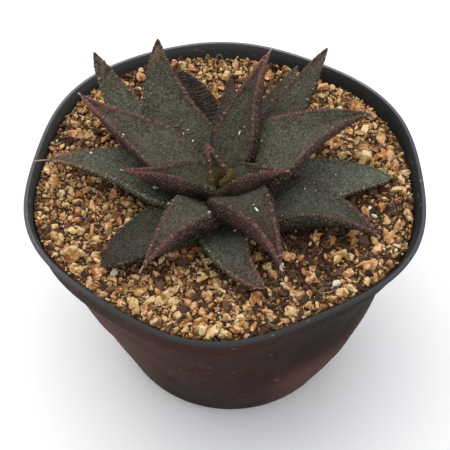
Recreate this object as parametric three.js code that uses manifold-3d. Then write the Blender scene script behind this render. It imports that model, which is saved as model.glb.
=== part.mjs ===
import * as THREE from "three";
import { mergeVertices } from "three/addons/utils/BufferGeometryUtils.js";
import Module from "manifold-3d";

const wasm = await Module();
wasm.setup();

// Driving dimensions, millimetres and degrees. The pot stands on z = 0 and +Z is up.
const POT_HEIGHT = 66.5;
const RIM_RADIUS = 50;
const BASE_RADIUS = 31.5;
const BASE_SHIFT = new THREE.Vector2(1.5, 0);
const WALL = 1.3;
const FLOOR = 1.8;
const LIP_WIDTH = 1.3;
const LIP_HEIGHT = 1.4;
const LIP_OVERHANG = 1.4;
const NECK_WALL = 0.8;
const COLLAR_HEIGHT = 9.5;
const COLLAR_STEP = 1;
const DRAIN_RADIUS = 3.2;
const DRAIN_CIRCLE = 22;
const DRAIN_COUNT = 6;
const POT_SIDES = 48;

// The soft wall is pressed out of round: amplitude in mm and direction in degrees, by number of bulges.
const RIM_BULGES = [
  [2, 0.35, -50],
  [3, 0.4, 1],
  [4, 0.15, 36],
  [5, 0.5, -23],
  [6, 0.8, 26],
];

// On one side the wall is drawn in at the collar and sags outward below it: reach in mm, direction in degrees.
const SAG = 1.6;
const SAG_TURN = -48;
const SAG_RATE = 1.3;

// Middle of the finished rim's box, which is brought over the origin.
const RIM_MIDDLE = new THREE.Vector2(0.08, -0.47);

const SEAT_GAP = 0.3;
const MIX_LEVEL = 62.4;
const MIX_EDGE_DROP = 0.6;
const MIX_RINGS = 16;
const MIX_RELIEF = 0.9;
const MIX_JITTER = 0.3;
const CROWN_DIP = 2.2;
const EDGE_LIFT = 1.5;
const EDGE_LIFT_TURN = 222;
const EDGE_LIFT_START = 38;
const EDGE_LIFT_REACH = 9;
const CHIP_COUNT = 44;
const CHIP_MIN = 2.4;
const CHIP_MAX = 4.8;
const CHIP_CLEARANCE = 13;

const CROWN = new THREE.Vector2(-1, -8);
const STEM_RADIUS = 3;
const STEM_BOTTOM = 47;
const STEM_TOP = 70;

const LEAF_RINGS = 14;
const CUTTER_RINGS = 9;
const LEAF_COLUMNS = 7;
const TOOTH = 0.3;
const TUBERCLE = 0.14;
const RIDGE = 0.22;
const THINNEST = 0.6;
const FOLD_ROUNDING = 0.02;

const leafDefaults = {
  thick: 6,
  bend: 1.5,
  swing: 0,
  roll: 0,
  twist: 0,
  start: 2.5,
  foldBase: 7,
  foldTip: 20,
  foldRate: 1.3,
  taper: 1.1,
  blunt: 0.06,
  edge: 1.9,
  clasp: 0.45,
  rings: LEAF_RINGS,
};

// One row a leaf, youngest first. heading: compass direction from +X; rise and droop: slope at the base
// and at the tip; height: where its upper face leaves the crown; swing and twist: turn and roll gained
// on the way.
const leafRows = [
  { heading: 179.2, length: 13.4, width: 3.7, rise: 76, droop: 75.5, height: 71, swing: 3.5, roll: -65, start: 0,
    thick: 2.4, foldBase: 32, foldTip: 60, taper: 1.15, edge: 1.1, clasp: 0.85, rings: 9 },
  { heading: -40, length: 7, width: 3.2, rise: 66, droop: 76, height: 71, start: 0.8, thick: 2.6,
    foldTip: 50, edge: 1.1, rings: 6 },
  { heading: 182.8, length: 22.1, width: 6.8, rise: 14, droop: 9.8, height: 71.6, roll: 1.5, start: 1.5,
    foldBase: 15, foldTip: 68, foldRate: 0.9, taper: 1.8, edge: 3.4, clasp: 0.7, rings: 11 },
  { heading: -13.8, length: 16.5, width: 8.4, rise: 41, droop: 11, height: 70.6, swing: 3, roll: -12, start: 1.5,
    foldBase: 15, foldTip: 65, foldRate: 0.9, taper: 1.8, edge: 3.2, clasp: 0.7, rings: 10 },
  { heading: 71, length: 36, width: 9.4, rise: 45, droop: 10, height: 68, swing: -9, roll: -12, start: 2,
    foldTip: 60, taper: 1.4, edge: 3.9 },
  { heading: 155, length: 42, width: 10.8, rise: 24, droop: -7.5, height: 69, swing: -28,
    foldTip: 62, taper: 1.15 },
  { heading: -61, length: 29.7, width: 10.7, rise: 43, droop: -40, height: 68.5, bend: 1.3, swing: -4, roll: -6,
    start: 2, thick: 8, foldTip: 60, taper: 1.23, edge: 4.8 },
  { heading: 24.4, length: 41.5, width: 14, rise: 34, droop: -21, height: 68, swing: 2.5, roll: -1.5,
    foldTip: 62, taper: 1.13, edge: 3.1 },
  { heading: -122, length: 30.4, width: 9.2, rise: 36, droop: -36, height: 66.5, swing: -9, roll: 8,
    thick: 7, foldTip: 58, taper: 1.15, blunt: 0.03, edge: 4.4 },
  { heading: 125, length: 43.3, width: 12.6, rise: 16.5, droop: 49.5, height: 64.5, swing: -38, twist: -24,
    foldTip: 16, taper: 1.04, blunt: 0.2, edge: 2.8 },
  { heading: 50, length: 44.3, width: 9.4, rise: 22.5, droop: 46.5, height: 64, swing: -5, roll: -9.5,
    foldTip: 20, taper: 0.82, blunt: 0.1, edge: 2.2 },
  { heading: -14.6, length: 38, width: 11.6, rise: 23.7, droop: -27.4, height: 64, swing: -13,
    thick: 9, foldTip: 52, taper: 1.05, edge: 5 },
  { heading: -89, length: 29, width: 7.4, rise: 18.8, droop: -15, height: 63, swing: 61, roll: 3.5,
    foldTip: 35, taper: 0.7, blunt: 0.2, edge: 2.6, clasp: 0.4 },
  { heading: 101.7, length: 36.7, width: 11.4, rise: 18.3, droop: 20.4, height: 62.5, swing: 17.4, roll: 12.6,
    start: 3, thick: 5.5, taper: 0.55, blunt: 0.11, rings: 12 },
  { heading: 64, length: 46.4, width: 9, rise: 18.5, droop: -3.3, height: 62, swing: 2, start: 3,
    thick: 4.5, rings: 11 },
  { heading: 139.5, length: 48, width: 10.8, rise: 12, droop: 62, height: 62.5, swing: -7, roll: -6, start: 3,
    taper: 0.95, blunt: 0.14 },
  { heading: 166.2, length: 42.5, width: 13.4, rise: 26.3, droop: -9.5, height: 63.5, bend: 1, swing: 8.5,
    start: 3, foldTip: 35, taper: 1.06, blunt: 0.02 },
  { heading: 86, length: 36, width: 8, rise: 18, droop: 12, height: 62.5, start: 3, thick: 4.5, blunt: 0.08,
    rings: 11 },
  { heading: 12, length: 40, width: 11.2, rise: 11, droop: -6, height: 63, swing: -13, start: 3,
    foldTip: 12, taper: 0.8, blunt: 0.35, edge: 3 },
  { heading: -141, length: 32.5, width: 8.6, rise: 20, droop: -17, height: 63, swing: -2, start: 3,
    foldTip: 14, taper: 0.6, blunt: 0.45, edge: 3 },
];

const colours = {
  pot: [0x2b2726, 0.55],
  mix: [0x9a7650, 0.95],
  stem: [0x6b5a3a, 0.8],
  leaf: [0x3d3b31, 0.7],
};

const rad = THREE.MathUtils.degToRad;
const lerp = THREE.MathUtils.lerp;
const smooth = (x) => THREE.MathUtils.smoothstep(x, 0, 1);
const group = new THREE.Group();

// A repeatable number between 0 and 1 for each whole number.
function chance(n) {
  const x = Math.sin(n * 12.9898 + 4.1414) * 43758.5453;
  return x - Math.floor(x);
}

function addPiece(name, geometry, [colour, roughness]) {
  const material = new THREE.MeshStandardMaterial({ color: colour, roughness, metalness: 0 });
  const mesh = new THREE.Mesh(geometry, material);
  mesh.name = name;
  group.add(mesh);
}

// Joins rings of equally many points into one closed skin, with a fan over each end.
function skinOfRings(rings) {
  const count = rings[0].length;
  const points = rings.flat();
  const faces = [];
  for (let i = 0; i < rings.length - 1; i += 1) {
    for (let j = 0; j < count; j += 1) {
      const a = i * count + j;
      const b = i * count + ((j + 1) % count);
      faces.push([a, b, b + count], [a, b + count, a + count]);
    }
  }
  const centre = (ring) => ring.reduce((sum, p) => sum.add(p), new THREE.Vector3()).divideScalar(count);
  points.push(centre(rings[0]), centre(rings[rings.length - 1]));
  const last = (rings.length - 1) * count;
  for (let j = 0; j < count; j += 1) {
    const k = (j + 1) % count;
    faces.push([points.length - 2, k, j], [points.length - 1, last + j, last + k]);
  }
  return { points, faces };
}

function solidOf({ points, faces }) {
  const vertProperties = new Float32Array(points.flatMap((p) => p.toArray()));
  const triVerts = new Uint32Array(faces.flat());
  return new wasm.Manifold(new wasm.Mesh({ numProp: 3, vertProperties, triVerts }));
}

function solidOfGeometry(source) {
  const bare = source.clone();
  bare.deleteAttribute("normal");
  bare.deleteAttribute("uv");
  const merged = mergeVertices(bare, 1e-4);
  const vertProperties = Float32Array.from(merged.attributes.position.array);
  const triVerts = Uint32Array.from(merged.index.array);
  return new wasm.Manifold(new wasm.Mesh({ numProp: 3, vertProperties, triVerts }));
}

// The faces of a solid, sorted into its connected bodies, the one with most faces first.
function bodiesOf(triangles, vertexCount) {
  const parent = Array.from({ length: vertexCount }, (_, i) => i);
  const find = (i) => {
    while (parent[i] !== i) {
      parent[i] = parent[parent[i]];
      i = parent[i];
    }
    return i;
  };
  for (let t = 0; t < triangles.length; t += 3) {
    const root = find(triangles[t]);
    parent[find(triangles[t + 1])] = root;
    parent[find(triangles[t + 2])] = root;
  }
  const bodies = new Map();
  for (let t = 0; t < triangles.length; t += 3) {
    const root = find(triangles[t]);
    if (!bodies.has(root)) bodies.set(root, []);
    bodies.get(root).push(triangles[t], triangles[t + 1], triangles[t + 2]);
  }
  return [...bodies.values()].sort((a, b) => b.length - a.length);
}

// The largest body of a solid as a geometry. Loose scraps left by a cut are dropped.
function geometryOf(solid) {
  const mesh = solid.getMesh();
  const bare = new THREE.BufferGeometry();
  bare.setAttribute("position", new THREE.BufferAttribute(Float32Array.from(mesh.vertProperties), 3));
  const bodies = bodiesOf(Array.from(mesh.triVerts), mesh.vertProperties.length / 3);
  bare.setIndex(bodies[0]);
  const geometry = bare.toNonIndexed();
  geometry.computeVertexNormals();
  return geometry;
}

// Pot: the outline is pressed out of round at the rim and round at the base, which stands a little aside.
function rimBulge(angle) {
  return RIM_BULGES.reduce((sum, [n, size, turn]) => sum + size * Math.cos(n * (angle - rad(turn))), 0);
}

function pressedPoint(angle, radius, z, reach = 1) {
  const share = z / POT_HEIGHT;
  const facing = Math.pow(Math.max(0, Math.cos(angle - rad(SAG_TURN))), 3);
  const sag = SAG * facing * Math.sin(2 * Math.PI * Math.pow(share, SAG_RATE));
  const r = (radius + rimBulge(angle) * Math.pow(share, 1.5) + sag) * reach;
  return new THREE.Vector3(
    r * Math.cos(angle) + BASE_SHIFT.x * (1 - share),
    r * Math.sin(angle) + BASE_SHIFT.y * (1 - share),
    z,
  );
}

function potRing(radius, z) {
  return Array.from({ length: POT_SIDES }, (_, i) => pressedPoint((2 * Math.PI * i) / POT_SIDES, radius, z));
}

const collarRadius = RIM_RADIUS - LIP_OVERHANG;
const collarFoot = POT_HEIGHT - COLLAR_HEIGHT;
const bodyTopRadius = collarRadius - COLLAR_STEP - 0.8;

// Outside radius of the tapering body, below the collar.
function bodyRadius(z) {
  return lerp(BASE_RADIUS, bodyTopRadius, z / (collarFoot - 1));
}

// Heights at which the wall and the mix inside it follow the sag.
const sagHeights = [42, 20];

// Radius and height down the inside of the wall, from the lip to the floor.
const insideProfile = [
  [RIM_RADIUS - LIP_WIDTH, POT_HEIGHT],
  [RIM_RADIUS - LIP_WIDTH - 0.4, POT_HEIGHT - 0.6],
  [collarRadius - NECK_WALL, POT_HEIGHT - LIP_HEIGHT - 0.1],
  [collarRadius - WALL - 0.5, collarFoot],
  [bodyTopRadius - WALL, collarFoot - 1.5],
  ...sagHeights.map((z) => [bodyRadius(z) - WALL, z]),
  [bodyRadius(FLOOR + 1) - WALL, FLOOR + 1],
];

function insideRadius(z) {
  const below = insideProfile.findIndex(([, height]) => height <= z);
  const [r0, z0] = insideProfile[below - 1];
  const [r1, z1] = insideProfile[below];
  return lerp(r1, r0, (z - z1) / (z0 - z1));
}

function potGeometry() {
  const rings = [
    potRing(BASE_RADIUS - 1.6, 0),
    potRing(BASE_RADIUS - 0.3, 0.7),
    potRing(bodyRadius(2.4), 2.4),
    ...sagHeights.toReversed().map((z) => potRing(bodyRadius(z), z)),
    potRing(bodyTopRadius, collarFoot - 1),
    potRing(collarRadius - 0.5, collarFoot),
    potRing(collarRadius, POT_HEIGHT - LIP_HEIGHT),
    potRing(RIM_RADIUS - 0.2, POT_HEIGHT - LIP_HEIGHT + 0.4),
    potRing(RIM_RADIUS, POT_HEIGHT - 0.6),
    potRing(RIM_RADIUS - 0.4, POT_HEIGHT),
    ...insideProfile.map(([radius, z]) => potRing(radius, z)),
    potRing(bodyRadius(FLOOR) - WALL - 1, FLOOR),
  ];
  let solid = solidOf(skinOfRings(rings));
  for (let i = 0; i < DRAIN_COUNT; i += 1) {
    const angle = (2 * Math.PI * (i + 0.5)) / DRAIN_COUNT;
    const hole = new THREE.CylinderGeometry(DRAIN_RADIUS, DRAIN_RADIUS, FLOOR * 3, 12);
    hole.rotateX(Math.PI / 2);
    hole.translate(
      DRAIN_CIRCLE * Math.cos(angle) + BASE_SHIFT.x,
      DRAIN_CIRCLE * Math.sin(angle) + BASE_SHIFT.y,
      FLOOR / 2,
    );
    solid = solid.subtract(solidOfGeometry(hole));
  }
  return geometryOf(solid);
}

// Leaf: a centre line that leaves the crown, bends and swings, with a folded upper face and a keel below.
function leafLine(leaf) {
  const steps = 120;
  const extra = leaf.grow;
  const heading = (s) => rad(leaf.heading + leaf.swing * s * s);
  const slope = (s) => rad(lerp(leaf.rise, leaf.droop, Math.pow(s, leaf.bend)));
  const along = (s) => new THREE.Vector3(
    Math.cos(slope(s)) * Math.cos(heading(s)),
    Math.cos(slope(s)) * Math.sin(heading(s)),
    Math.sin(slope(s)),
  );
  const point = new THREE.Vector3(
    CROWN.x + leaf.start * Math.cos(rad(leaf.heading)),
    CROWN.y + leaf.start * Math.sin(rad(leaf.heading)),
    leaf.height,
  );
  point.addScaledVector(along(0), -extra);
  const points = [point.clone()];
  for (let i = 0; i < steps; i += 1) {
    point.addScaledVector(along((i + 0.5) / steps), (leaf.length + 2 * extra) / steps);
    points.push(point.clone());
  }
  return (s) => {
    const at = Math.min(s * steps, steps - 1e-6);
    const low = Math.floor(at);
    const direction = along(s);
    const side = new THREE.Vector3(-Math.sin(heading(s)), Math.cos(heading(s)), 0);
    const up = new THREE.Vector3().crossVectors(direction, side);
    const roll = rad(leaf.roll + leaf.twist * s);
    side.applyAxisAngle(direction, roll);
    up.applyAxisAngle(direction, roll);
    return { centre: points[low].clone().lerp(points[low + 1], at - low), side, up };
  };
}

function leafHalfWidth(leaf, s) {
  const pointed = Math.pow(1 - s, leaf.taper) * (1 - leaf.blunt);
  const rounded = leaf.blunt * Math.sqrt(Math.max(1 - s * s, 0));
  const clasped = lerp(leaf.clasp, 1, smooth(s / 0.4));
  return Math.max(leaf.width * (pointed + rounded) * clasped, 0.4);
}

function leafKeel(leaf, s) {
  const body = Math.pow(1 - Math.pow(s, 2.2), 0.9) * (1 - 0.45 * s);
  return leaf.thick * body * lerp(0.7, 1, smooth(s / 0.35)) + 0.4;
}

// Height over the centre line and slope of the folded upper face, for u from margin (-1) to margin (1).
function foldHeight(u, halfWidth, fold) {
  return (Math.sqrt(u * u + FOLD_ROUNDING) - Math.sqrt(FOLD_ROUNDING)) * halfWidth * Math.sin(fold);
}

function foldTilt(u, fold) {
  return Math.atan((u / Math.sqrt(u * u + FOLD_ROUNDING)) * Math.tan(fold));
}

function leafSection(leaf, frame, s, row) {
  const halfWidth = leafHalfWidth(leaf, s) + leaf.grow;
  const fold = rad(lerp(leaf.foldBase, leaf.foldTip, Math.pow(s, leaf.foldRate)));
  const side = (leaf.edge - THINNEST) * Math.pow(1 - s, 0.7) * lerp(0.7, 1, smooth(s / 0.35));
  const edge = side + THINNEST + leaf.grow;
  const keel = Math.max(leafKeel(leaf, s) + leaf.grow, edge);
  const rough = leaf.grow > 0 || s > 0.95 || row === 0 ? 0 : 1;
  const odd = row % 2;
  const wide = halfWidth * Math.cos(fold);
  const place = (x, z) => frame.centre.clone()
    .addScaledVector(frame.side, x)
    .addScaledVector(frame.up, z);
  const ring = [];
  for (let j = 0; j < LEAF_COLUMNS; j += 1) {
    const u = -1 + (2 * j) / (LEAF_COLUMNS - 1);
    const bump = rough * TUBERCLE * ((j + row) % 2 ? 1 : -1);
    ring.push(place(u * wide, foldHeight(u, halfWidth, fold) + leaf.grow + bump));
  }
  const lean = foldTilt(1, fold);
  const outward = 0.2 * edge + rough * TOOTH * odd;
  const margin = wide + 0.5 * edge * Math.sin(lean) + outward * Math.cos(lean);
  const marginHeight = foldHeight(1, halfWidth, fold) - 0.5 * edge * Math.cos(lean) + outward * Math.sin(lean);
  ring.push(place(margin, marginHeight));
  const lowColumns = LEAF_COLUMNS - 2;
  for (let j = 0; j < lowColumns; j += 1) {
    const u = 1 - (2 * j) / (lowColumns - 1);
    const depth = edge + (keel - edge) * Math.pow(1 - u * u, 0.9) + rough * RIDGE * odd;
    const tilt = foldTilt(u, fold);
    const drop = foldHeight(u, halfWidth, fold) - depth * Math.cos(tilt);
    ring.push(place(u * wide + depth * Math.sin(tilt), drop));
  }
  ring.push(place(-margin, marginHeight));
  return ring;
}

function leafSolid(row, grow = 0) {
  const leaf = { ...leafDefaults, ...row, grow };
  if (grow > 0) leaf.rings = Math.min(leaf.rings, CUTTER_RINGS);
  const frameAt = leafLine(leaf);
  const rings = Array.from({ length: leaf.rings }, (_, i) => {
    const s = i / (leaf.rings - 1);
    return leafSection(leaf, frameAt(s), s, i).reverse();
  });
  return solidOf(skinOfRings(rings));
}

// Each leaf is cut clear of the stem and of every younger leaf that it passes under.
function stemSolid(grow = 0) {
  const heights = [STEM_BOTTOM - grow, STEM_BOTTOM + 3, MIX_LEVEL - 2, STEM_TOP - 2, STEM_TOP + grow];
  const radii = [STEM_RADIUS * 0.4, STEM_RADIUS * 0.8, STEM_RADIUS, STEM_RADIUS * 0.8, STEM_RADIUS * 0.45];
  const rings = heights.map((z, i) => Array.from({ length: 16 }, (_, j) => {
    const angle = (2 * Math.PI * j) / 16;
    const r = radii[i] + grow;
    return new THREE.Vector3(CROWN.x + r * Math.cos(angle), CROWN.y + r * Math.sin(angle), z);
  }));
  return solidOf(skinOfRings(rings));
}

const grownStem = stemSolid(SEAT_GAP);
const grownLeaves = leafRows.map((row) => leafSolid(row, SEAT_GAP + TOOTH));

function leafGeometry(index) {
  let solid = leafSolid(leafRows[index]).subtract(grownStem);
  for (let younger = 0; younger < index; younger += 1) {
    solid = solid.subtract(grownLeaves[younger]);
  }
  return geometryOf(solid);
}

// Potting mix: rings of six more points each, raised as grains, over a plain body that follows the wall.
function mixPoint(angle, z, reach = 1) {
  return pressedPoint(angle, insideRadius(z) - SEAT_GAP - 0.15, z, reach);
}

// How much higher the mix lies along the wall, mostly on the left and in front.
function edgeLift(x, y) {
  const facing = 0.5 + 0.5 * Math.cos(Math.atan2(y, x) - rad(EDGE_LIFT_TURN));
  return EDGE_LIFT * facing * smooth((Math.hypot(x, y) - EDGE_LIFT_START) / EDGE_LIFT_REACH);
}

// Surface height: a shallow dip round the crown, rough ground, and a lifted grain here and there.
function grainHeight(x, y, n) {
  const fromCrown = Math.hypot(x - CROWN.x, y - CROWN.y);
  const dip = CROWN_DIP * (1 - smooth((fromCrown - 6) / 20));
  const lifted = chance(n + 55) > 0.75 ? 0.8 : 0;
  return MIX_LEVEL - dip + MIX_RELIEF * (2 * chance(n) - 1 + lifted) + edgeLift(x, y);
}

function mixTop() {
  const points = [new THREE.Vector3(0, 0, grainHeight(0, 0, 0))];
  const faces = [];
  const ringStart = [0];
  for (let k = 1; k <= MIX_RINGS; k += 1) {
    ringStart.push(points.length);
    const loose = k === MIX_RINGS ? 0 : MIX_JITTER;
    for (let j = 0; j < 6 * k; j += 1) {
      const n = points.length;
      const angle = (2 * Math.PI * (j + loose * (2 * chance(n + 700) - 1))) / (6 * k);
      const point = mixPoint(angle, MIX_LEVEL - MIX_EDGE_DROP, (k + loose * (2 * chance(n + 300) - 1)) / MIX_RINGS);
      if (k < MIX_RINGS) point.z = grainHeight(point.x, point.y, n);
      else point.z += edgeLift(point.x, point.y);
      points.push(point);
    }
  }
  for (let j = 0; j < 6; j += 1) faces.push([0, 1 + j, 1 + ((j + 1) % 6)]);
  for (let k = 1; k < MIX_RINGS; k += 1) {
    const inner = ringStart[k];
    const outer = ringStart[k + 1];
    for (let sector = 0; sector < 6; sector += 1) {
      for (let j = 0; j <= k; j += 1) {
        const a = outer + sector * (k + 1) + j;
        const b = outer + ((sector * (k + 1) + j + 1) % (6 * (k + 1)));
        const c = inner + ((sector * k + j) % (6 * k));
        faces.push([c, a, b]);
        if (j < k) faces.push([c, b, inner + ((sector * k + j + 1) % (6 * k))]);
      }
    }
  }
  return { points, faces, edgeStart: ringStart[MIX_RINGS] };
}

function mixSolid() {
  const { points, faces, edgeStart } = mixTop();
  const count = 6 * MIX_RINGS;
  let above = edgeStart;
  [collarFoot + 0.2, collarFoot - 1.7, ...sagHeights, FLOOR + 1.4].forEach((z) => {
    const start = points.length;
    for (let j = 0; j < count; j += 1) {
      const k = (j + 1) % count;
      points.push(mixPoint((2 * Math.PI * j) / count, z));
      faces.push([above + j, start + j, start + k], [above + j, start + k, above + k]);
    }
    above = start;
  });
  points.push(mixPoint(0, FLOOR + 1.4, 0));
  for (let j = 0; j < count; j += 1) {
    faces.push([points.length - 1, above + ((j + 1) % count), above + j]);
  }
  return solidOf({ points, faces });
}

// Grit chips: blocky stones scattered evenly outside the crown, sunk about half into the mix.
function chipSolid(x, y, index) {
  const size = lerp(CHIP_MIN, CHIP_MAX, chance(index + 40) ** 2);
  const chip = new THREE.BoxGeometry(size, size * 0.8, size * 0.65);
  chip.applyMatrix4(new THREE.Matrix4().makeRotationFromEuler(
    new THREE.Euler(2 * chance(index + 90), 2 * chance(index + 91), 2 * Math.PI * chance(index + 92)),
  ));
  chip.translate(x, y, MIX_LEVEL + size * 0.1);
  return solidOfGeometry(chip);
}

function withChips(ground) {
  const goldenAngle = Math.PI * (3 - Math.sqrt(5));
  const reach = insideRadius(MIX_LEVEL) - CHIP_MAX;
  let solid = ground;
  for (let i = 0; i < CHIP_COUNT; i += 1) {
    const r = reach * Math.sqrt((i + 0.5) / CHIP_COUNT);
    const x = r * Math.cos(i * goldenAngle);
    const y = r * Math.sin(i * goldenAngle);
    if (Math.hypot(x - CROWN.x, y - CROWN.y) > CHIP_CLEARANCE) solid = solid.add(chipSolid(x, y, i));
  }
  return solid;
}

function mixGeometry() {
  let solid = withChips(mixSolid());
  const holeRadius = STEM_RADIUS + SEAT_GAP;
  const holeDepth = 30;
  const hole = new THREE.CylinderGeometry(holeRadius, holeRadius, holeDepth, 24);
  hole.rotateX(Math.PI / 2);
  hole.translate(CROWN.x, CROWN.y, STEM_BOTTOM - SEAT_GAP + holeDepth / 2);
  solid = solid.subtract(solidOfGeometry(hole));
  grownLeaves.forEach((leaf) => {
    solid = solid.subtract(leaf);
  });
  return geometryOf(solid);
}

addPiece("pot", potGeometry(), colours.pot);
addPiece("potting_mix", mixGeometry(), colours.mix);
addPiece("stem", geometryOf(stemSolid()), colours.stem);
leafRows.forEach((_, index) => {
  addPiece(`leaf_${String(index + 1).padStart(2, "0")}`, leafGeometry(index), colours.leaf);
});
group.position.set(-RIM_MIDDLE.x, -RIM_MIDDLE.y, 0);

export default group;
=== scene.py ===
import math
from types import SimpleNamespace

import bmesh
import bpy
import numpy as np
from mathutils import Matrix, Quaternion, Vector
from mathutils.bvhtree import BVHTree


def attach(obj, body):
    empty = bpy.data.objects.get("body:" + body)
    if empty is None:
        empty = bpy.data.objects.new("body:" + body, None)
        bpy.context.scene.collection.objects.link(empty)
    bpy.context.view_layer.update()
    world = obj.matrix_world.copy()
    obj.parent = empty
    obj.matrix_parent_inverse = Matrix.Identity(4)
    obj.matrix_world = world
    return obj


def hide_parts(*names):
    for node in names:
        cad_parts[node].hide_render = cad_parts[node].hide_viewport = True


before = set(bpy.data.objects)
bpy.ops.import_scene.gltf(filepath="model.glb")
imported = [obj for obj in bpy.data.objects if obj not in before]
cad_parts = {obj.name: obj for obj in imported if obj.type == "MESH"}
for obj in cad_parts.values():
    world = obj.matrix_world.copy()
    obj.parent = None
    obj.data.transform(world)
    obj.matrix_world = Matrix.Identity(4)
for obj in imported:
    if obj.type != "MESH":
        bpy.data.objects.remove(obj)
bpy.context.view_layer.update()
scene = bpy.context.scene

# Shapes are worked out in millimetres, with the pot on z = 0, and scaled when a mesh is made.
MM = 0.001
TAU = 2 * math.pi

POT_HEIGHT = 66.5
POT_SIDES = 288
WALL = 1.3
# Waves that press the rim out of round: how many go round it, their size and turn.
RIM_BULGES = [(2, 0.35, -50), (3, 0.4, 1), (4, 0.15, 36), (5, 0.5, -23), (6, 0.8, 26)]
RIM_MIDDLE = (0.08, -0.47)
BASE_SHIFT = 1.5
SAG, SAG_TURN = 1.6, -48
DRAIN_HOLES, DRAIN_RADIUS, DRAIN_RING = 6, 3.2, 22

MIX_LEVEL = 62.4
MIX_BOTTOM = 3.2
MIX_RINGS, MIX_SIDES = 110, 400
WALL_GAP = 0.15
CROWN = np.array([-1.0, -8.0]) - RIM_MIDDLE
CROWN_DIP = 2.2
# The mix lies higher along the wall, most of all at this turn: on the left and in front.
EDGE_LIFT, EDGE_LIFT_TURN, EDGE_LIFT_REACH = 2.0, 222, (38, 47)
# Loose grains are strewn inside this radius, but not on the stem.
GRIT_RADIUS = 49.5
STEM_SPOT = (-1, -7.5)
# Each grain is a ball cut by so many planes and roughened by such a share.
FACETS, CRUMBLE = 11, 0.19

# Where the photograph was taken from: the point looked at, the distance and the downward angle.
LOOK_AT = np.array([-RIM_MIDDLE[0], -17.8 - RIM_MIDDLE[1], 66.5])
DISTANCE = 215.0
ELEVATION = math.radians(50.5)
FOCAL_PIXELS = 906.0
FRAME_PIXELS = 450
SENSOR = 36

random = np.random.default_rng(20)


def smooth(x):
    x = np.clip(x, 0, 1)
    return x * x * (3 - 2 * x)


def step(x, low, high):
    return smooth((x - low) / (high - low))


def lerp(a, b, t):
    return a + (b - a) * t


def unit(v):
    return v / np.maximum(np.linalg.norm(v, axis=-1, keepdims=True), 1e-9)


def hashed(i, j, k=0):
    """A repeatable number from 0 to 1 for whole numbers i, j and k."""
    x = np.sin(i * 12.9898 + j * 78.233 + k * 37.719) * 43758.5453
    return x - np.floor(x)


def value_noise(x, y, size, seed=0):
    """Smooth noise from -1 to 1 with features of about that size."""
    x, y = x / size, y / size
    i, j = np.floor(x), np.floor(y)
    u, v = smooth(x - i), smooth(y - j)
    low = lerp(hashed(i, j, seed), hashed(i + 1, j, seed), u)
    high = lerp(hashed(i, j + 1, seed), hashed(i + 1, j + 1, seed), u)
    return 2 * lerp(low, high, v) - 1


def srgb(r, g, b):
    """A colour given in 8-bit screen values, as linear values."""
    c = np.array([r, g, b]) / 255
    return (*np.where(c <= 0.04045, c / 12.92, ((c + 0.055) / 1.055) ** 2.4), 1.0)


def add_object(name, data):
    made = bpy.data.objects.new(name, data)
    scene.collection.objects.link(made)
    return made


# ---- camera, light and floor

backward = np.array([0, -math.cos(ELEVATION), math.sin(ELEVATION)])
eye = LOOK_AT + DISTANCE * backward

camera_data = bpy.data.cameras.new("camera")
camera_data.sensor_width = SENSOR
camera_data.lens = SENSOR * FOCAL_PIXELS / FRAME_PIXELS
camera_data.clip_start = 0.01
camera = add_object("camera", camera_data)
camera.location = eye * MM
camera.rotation_euler = (math.pi / 2 - ELEVATION, 0, 0)
scene.camera = camera


def seen_at(px, py, z):
    """The point at height z that shows at a pixel of the 450 x 450 frame."""
    right = np.array([1.0, 0, 0])
    up = np.cross(right, -backward)
    ray = -backward * FOCAL_PIXELS + right * (px - FRAME_PIXELS / 2) + up * (FRAME_PIXELS / 2 - py)
    return eye + ray * (z - eye[2]) / ray[2]


def area_light(name, place, aim, size, power, colour):
    data = bpy.data.lights.new(name, "AREA")
    data.shape = "DISK"
    data.size = size
    data.energy = power
    data.color = colour
    lamp = add_object(name, data)
    lamp.location = place
    lamp.rotation_euler = (Vector(aim) - Vector(place)).to_track_quat("-Z", "Y").to_euler()


area_light("key", (-0.12, 0.16, 0.7), (0, 0, 0.05), 0.9, 3.9, (1, 0.98, 0.95))
area_light("fill", (0.35, -0.45, 0.5), (0, 0, 0.04), 0.6, 0.7, (0.95, 0.97, 1))

world = bpy.data.worlds.new("studio")
world.use_nodes = True
glow = world.node_tree.nodes["Background"].inputs
glow["Color"].default_value = (0.93, 0.96, 1, 1)
glow["Strength"].default_value = 0.8
scene.world = world
scene.view_settings.view_transform = "Standard"


# ---- meshes and materials

def make_object(name, points, faces, surface, masks=None, flat=False):
    """A mesh piece from points in millimetres, faces as index arrays and masks as numbers by point."""
    mesh = bpy.data.meshes.new(name)
    mesh.vertices.add(len(points))
    mesh.vertices.foreach_set("co", (np.asarray(points) * MM).astype(np.float32).ravel())
    groups = [np.asarray(group, np.int32) for group in faces]
    sizes = np.concatenate([np.full(len(group), group.shape[1], np.int32) for group in groups])
    mesh.loops.add(int(sizes.sum()))
    mesh.loops.foreach_set("vertex_index", np.concatenate([group.ravel() for group in groups]))
    mesh.polygons.add(len(sizes))
    mesh.polygons.foreach_set("loop_start", np.concatenate([[0], np.cumsum(sizes)[:-1]]).astype(np.int32))
    mesh.update(calc_edges=True)
    mesh.validate()
    mesh.polygons.foreach_set("use_smooth", np.full(len(mesh.polygons), not flat))
    for key, values in (masks or {}).items():
        layer = mesh.attributes.new(key, "FLOAT", "POINT")
        layer.data.foreach_set("value", np.asarray(values, np.float32))
    mesh.materials.append(surface)
    return add_object(name, mesh)


def part_piece(piece, slot, *nodes):
    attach(piece, "root")
    if nodes:
        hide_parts(*nodes)


def turn_outward(piece):
    """Flips a closed mesh whose faces point inward."""
    mesh = bmesh.new()
    mesh.from_mesh(piece.data)
    if mesh.calc_volume(signed=True) < 0:
        bmesh.ops.reverse_faces(mesh, faces=mesh.faces)
        mesh.to_mesh(piece.data)
    mesh.free()


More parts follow.
